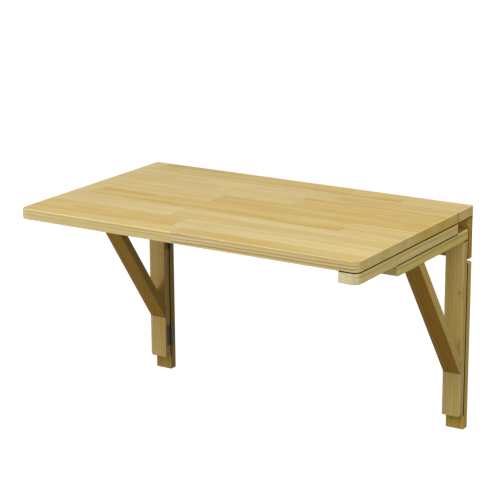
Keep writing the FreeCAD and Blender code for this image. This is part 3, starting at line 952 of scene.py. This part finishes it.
class TABLE_OT_finish_top(bpy.types.Operator):
    """Gives the shelf and the leaf their glued pine"""

    bl_idname = "drop_leaf_table.finish_top"
    bl_label = "Finish Shelf and Leaf"

    def execute(self, context):
        for node in ("leaf_panel", "shelf_strip"):
            pine(node, ALONG_TABLE, staves=True)
        return {"FINISHED"}


class TABLE_OT_finish_rail(bpy.types.Operator):
    """Gives the wall rail and the uprights their pine"""

    bl_idname = "drop_leaf_table.finish_rail"
    bl_label = "Finish Rail and Uprights"

    def execute(self, context):
        pine("wall_rail", ON_EDGE)
        for side in SIDES:
            pine(side + "_wall_upright", UPRIGHT)
        return {"FINISHED"}


class TABLE_OT_finish_battens(bpy.types.Operator):
    """Gives the battens under the leaf their pine"""

    bl_idname = "drop_leaf_table.finish_battens"
    bl_label = "Finish Battens"

    def execute(self, context):
        for side in SIDES:
            pine(side + "_batten", OUT_FROM_WALL)
        return {"FINISHED"}


# The knot is on the front of the right post, this far along the table and up.
KNOT_ACROSS = 0.392
KNOT_UP = -0.114


class TABLE_OT_finish_brackets(bpy.types.Operator):
    """Gives the posts, arms and braces their pine"""

    bl_idname = "drop_leaf_table.finish_brackets"
    bl_label = "Finish Brackets"

    def execute(self, context):
        low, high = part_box("right_bracket_brace")
        sloping = grain_turn((0, low.y - high.y, high.z - low.z), (1, 0, 0))
        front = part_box("right_bracket_post")[0].y
        knots = {"left": None, "right": (KNOT_ACROSS, front, KNOT_UP)}
        for side in SIDES:
            post, arm, brace = bracket_pieces(side)
            pine(post, UPRIGHT, knot=knots[side])
            pine(arm, OUT_FROM_WALL)
            pine(brace, sloping)
        return {"FINISHED"}


class TABLE_OT_finish_hinges(bpy.types.Operator):
    """Gives the hinge plates and pins their black steel"""

    bl_idname = "drop_leaf_table.finish_hinges"
    bl_label = "Finish Hinges"

    def execute(self, context):
        steel = context.scene.table_steel
        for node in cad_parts:
            if "_hinge_" in node:
                hinge_steel(node, steel.pin if node.endswith("_pin") else steel.black)
        return {"FINISHED"}


# From a plate's outer edge in to its screw holes, and from one hole to the other.
HOLE_INSET = {"bracket": 4.975 * MM, "leaf": 9.475 * MM}
HOLE_PITCH = {"bracket": 30 * MM, "leaf": 38 * MM}
PLATE = 1.5 * MM


class TABLE_OT_add_hinge_screws(bpy.types.Operator):
    """Adds the screws' heads on the hinge plates"""

    bl_idname = "drop_leaf_table.add_hinge_screws"
    bl_label = "Add Hinge Screws"

    def execute(self, context):
        screws = context.scene.table_screws
        mesh = screw_head("hinge_screw_head", PAN_PROFILE, screws.hinge_head / 2,
                          screws.hinge_rise)
        mesh.materials.append(screw_steel("hinge_screw_steel", context.scene.table_steel.black))
        for side, sign in SIDES.items():
            bodies = {"wall": "wall_frame", "post": side + "_bracket"}
            for level in LEVELS:
                self.screw_hinge(mesh, f"{side}_{level}_hinge", "bracket", bodies, (-sign, 0, 0))
            bodies = {"shelf": "wall_frame", "leaf": "drop_leaf"}
            self.screw_hinge(mesh, side + "_leaf_hinge", "leaf", bodies, (0, 0, -1))
        return {"FINISHED"}

    def screw_hinge(self, mesh, hinge, kind, bodies, facing):
        """Two screws in each plate of a hinge, whose faces look along X or Z."""
        axis = 0 if facing[0] else 2
        inset, pitch = HOLE_INSET[kind], HOLE_PITCH[kind]
        for part, body in bodies.items():
            low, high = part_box(f"{hinge}_{part}_plate")
            spot = (low + high) / 2
            wood = high if facing[axis] < 0 else low
            spot[axis] = wood[axis] + facing[axis] * PLATE
            spot.y = high.y - inset if body == "wall_frame" else low.y + inset
            for number, way in enumerate((-1, 1), 1):
                hole = spot.copy()
                hole[2 - axis] += way * pitch / 2
                place_screw(f"{hinge}_{part}_screw_{number}", mesh, body, hole, facing)


# The screws along a batten, as shares of its length from its rear end.
BATTEN_SCREWS = (0.08, 0.36, 0.64, 0.92)

# A bracket's screws: to each side of its middle, up from the brace's foot and in from its head.
SCREW_ASIDE = 11 * MM
FOOT_SCREW_UP = 16 * MM
HEAD_SCREW_IN = 12 * MM


class TABLE_OT_add_wood_screws(bpy.types.Operator):
    """Adds the countersunk screws that hold the battens and the brackets together"""

    bl_idname = "drop_leaf_table.add_wood_screws"
    bl_label = "Add Wood Screws"

    def execute(self, context):
        screws = context.scene.table_screws
        mesh = screw_head("wood_screw_head", FLAT_PROFILE, screws.wood_head / 2, screws.wood_rise)
        mesh.materials.append(screw_steel("wood_screw_zinc", context.scene.table_steel.zinc))
        for side in SIDES:
            self.screw_batten(mesh, side)
            self.screw_bracket(mesh, side)
        return {"FINISHED"}

    def screw_batten(self, mesh, side):
        """Screws up through a batten into the leaf."""
        low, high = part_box(side + "_batten")
        for number, share in enumerate(BATTEN_SCREWS, 1):
            spot = Vector(((low.x + high.x) / 2, high.y + (low.y - high.y) * share, low.z))
            place_screw(f"{side}_batten_screw_{number}", mesh, "drop_leaf", spot, (0, 0, -1))

    def screw_bracket(self, mesh, side):
        """Screws through the arm into the brace's head, and through the post into its foot."""
        post, arm, brace = (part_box(piece) for piece in bracket_pieces(side))
        middle = (post[0].x + post[1].x) / 2
        body = side + "_bracket"
        for number, way in enumerate((-1, 1), 1):
            across = middle + way * SCREW_ASIDE
            foot = Vector((across, post[1].y, brace[0].z + FOOT_SCREW_UP))
            place_screw(f"{side}_foot_screw_{number}", mesh, body, foot, (0, 1, 0))
            head = Vector((across, brace[0].y + HEAD_SCREW_IN, arm[1].z))
            place_screw(f"{side}_head_screw_{number}", mesh, body, head, (0, 0, 1))


# The camera stands off the table's right front corner and looks down on it a little.
CAMERA_PLACE = Vector((1.908, -3.291, 0.983))
CAMERA_YAW = math.radians(32.0)
CAMERA_PITCH = math.radians(-15.7)
CAMERA_ROLL = math.radians(-0.32)
CAMERA_LENS = 128.1

# Where each lamp hangs, how wide it is and how high. All face one point.
LAMPS = {"key": ((0.2, -3.2, 3.8), 3.4, 3.4), "side": ((3.2, -1.2, 2.6), 2.6, 2.6),
         "front": ((-2.2, -2.0, -0.4), 0.6, 0.6), "near": ((1.9, -2.0, 1.1), 2.0, 2.0),
         "back": ((-1.2, 2.4, -0.4), 4.0, 0.5)}
LAMP_AIM = Vector((0, -0.25, 0))

# The grey that throws light back at the table, and the one that shadows fall on. Between these
# distances the floor clears to white.
FLOOR_SIZE = 60
FLOOR_PAINT = (0.18, 0.18, 0.18)
FLOOR_SHADED = (0.25, 0.25, 0.25)
FLOOR_CLEARS = (1.5, 5.0)


class TABLE_OT_set_stage(bpy.types.Operator):
    """Sets the floor, the lamps, the sky and the camera"""

    bl_idname = "drop_leaf_table.set_stage"
    bl_label = "Set Stage"

    def execute(self, context):
        stage = context.scene.table_stage
        context.scene.view_settings.view_transform = "Standard"
        self.lay_floor(stage)
        self.light_sky(context.scene, stage)
        for name, (place, width, height) in LAMPS.items():
            self.hang_lamp(name + "_lamp", getattr(stage, name + "_power"), place, width, height)
        self.set_camera(context)
        return {"FINISHED"}

    def lay_floor(self, stage):
        """A wide pale floor that looks white and keeps the shadow."""
        level = cad_box[1][2] - stage.table_height
        bpy.ops.mesh.primitive_plane_add(size=FLOOR_SIZE, location=(0, 0, level))
        floor = bpy.context.object
        floor.name = "floor"
        material, net = new_material("pale_floor")
        paint = net.node("BsdfDiffuse", [("Color", FLOOR_PAINT)]).outputs[0]
        shaded = net.node("BsdfDiffuse", [("Color", FLOOR_SHADED)]).outputs[0]
        reach = net.length(net.node("TexCoord").outputs["Object"])
        white = net.ramp(reach, *FLOOR_CLEARS, stage.floor_white, 1.0)
        glow = net.node("Emission", [("Color", WHITE), ("Strength", white)]).outputs[0]
        bright = net.node("AddShader", [(0, shaded), (1, glow)]).outputs[0]
        sockets = [(0, self.seen_directly(net)), (1, paint), (2, bright)]
        seen = net.node("MixShader", sockets).outputs[0]
        net.node("OutputMaterial", [("Surface", seen)])
        floor.data.materials.append(material)

    def seen_directly(self, net):
        """1 for rays that the camera, a gloss or a glass sends, and 0 for others."""
        ray = net.node("LightPath").outputs
        shown = net.most(ray["Is Camera Ray"], ray["Is Glossy Ray"])
        return net.most(shown, ray["Is Transmission Ray"])

    def light_sky(self, scene, stage):
        """A white surround that lights the table at a plain level."""
        world = bpy.data.worlds.new("sky")
        world.use_nodes = True
        world.node_tree.nodes.clear()
        net = Net(world.node_tree)
        level = net.between(self.seen_directly(net), stage.sky_level, 1.0)
        sky = net.node("Background", [("Color", WHITE), ("Strength", level)]).outputs[0]
        net.node("OutputWorld", [("Surface", sky)])
        scene.world = world

    def hang_lamp(self, name, power, place, width, height):
        """A soft lamp that faces the table."""
        light = bpy.data.lights.new(name, "AREA")
        light.energy = power
        light.shape = "RECTANGLE"
        light.size = width
        light.size_y = height
        aim = turn_to(LAMP_AIM - Vector(place), "-Z")
        add_object(name, light, Matrix.Translation(place) @ aim)

    def set_camera(self, context):
        """The camera."""
        lens = bpy.data.cameras.new("camera")
        lens.lens = CAMERA_LENS
        yaw = Matrix.Rotation(CAMERA_YAW, 4, "Z")
        pitch = Matrix.Rotation(QUARTER + CAMERA_PITCH, 4, "X")
        roll = Matrix.Rotation(CAMERA_ROLL, 4, "Z")
        place = Matrix.Translation(CAMERA_PLACE) @ (yaw @ pitch) @ roll
        context.scene.camera = add_object("camera", lens, place)


class TABLE_PT_sidebar(bpy.types.Panel):
    """Lists the steps that make the table's looks, and what can be set"""

    bl_idname = "TABLE_PT_sidebar"
    bl_label = "Drop Leaf Table"
    bl_space_type = "VIEW_3D"
    bl_region_type = "UI"
    bl_category = "Drop Leaf Table"

    def draw(self, context):
        for step in STEPS:
            self.layout.operator(step.bl_idname)
        for group, kind in SETTINGS.items():
            box = self.layout.box()
            for name in kind.__annotations__:
                box.prop(getattr(context.scene, group), name)


SETTINGS = {"table_pine": PineSettings, "table_steel": SteelSettings,
            "table_screws": ScrewSettings, "table_stage": StageSettings}
STEPS = (TABLE_OT_set_stage, TABLE_OT_finish_top, TABLE_OT_finish_rail, TABLE_OT_finish_battens,
         TABLE_OT_finish_brackets, TABLE_OT_finish_hinges, TABLE_OT_add_hinge_screws,
         TABLE_OT_add_wood_screws)
CLASSES = (*SETTINGS.values(), *STEPS, TABLE_PT_sidebar)


def register():
    """Registers the classes and puts the settings on the scene."""
    for kind in CLASSES:
        bpy.utils.register_class(kind)
    for name, kind in SETTINGS.items():
        setattr(bpy.types.Scene, name, PointerProperty(type=kind))


def unregister():
    """Takes the settings and the classes away again."""
    for name in SETTINGS:
        delattr(bpy.types.Scene, name)
    for kind in reversed(CLASSES):
        bpy.utils.unregister_class(kind)


def main():
    """Makes the table's looks step by step."""
    register()
    bpy.ops.drop_leaf_table.set_stage()
    bpy.ops.drop_leaf_table.finish_top()
    bpy.ops.drop_leaf_table.finish_rail()
    bpy.ops.drop_leaf_table.finish_battens()
    bpy.ops.drop_leaf_table.finish_brackets()
    bpy.ops.drop_leaf_table.finish_hinges()
    bpy.ops.drop_leaf_table.add_hinge_screws()
    bpy.ops.drop_leaf_table.add_wood_screws()


if __name__ == "__main__":
    main()
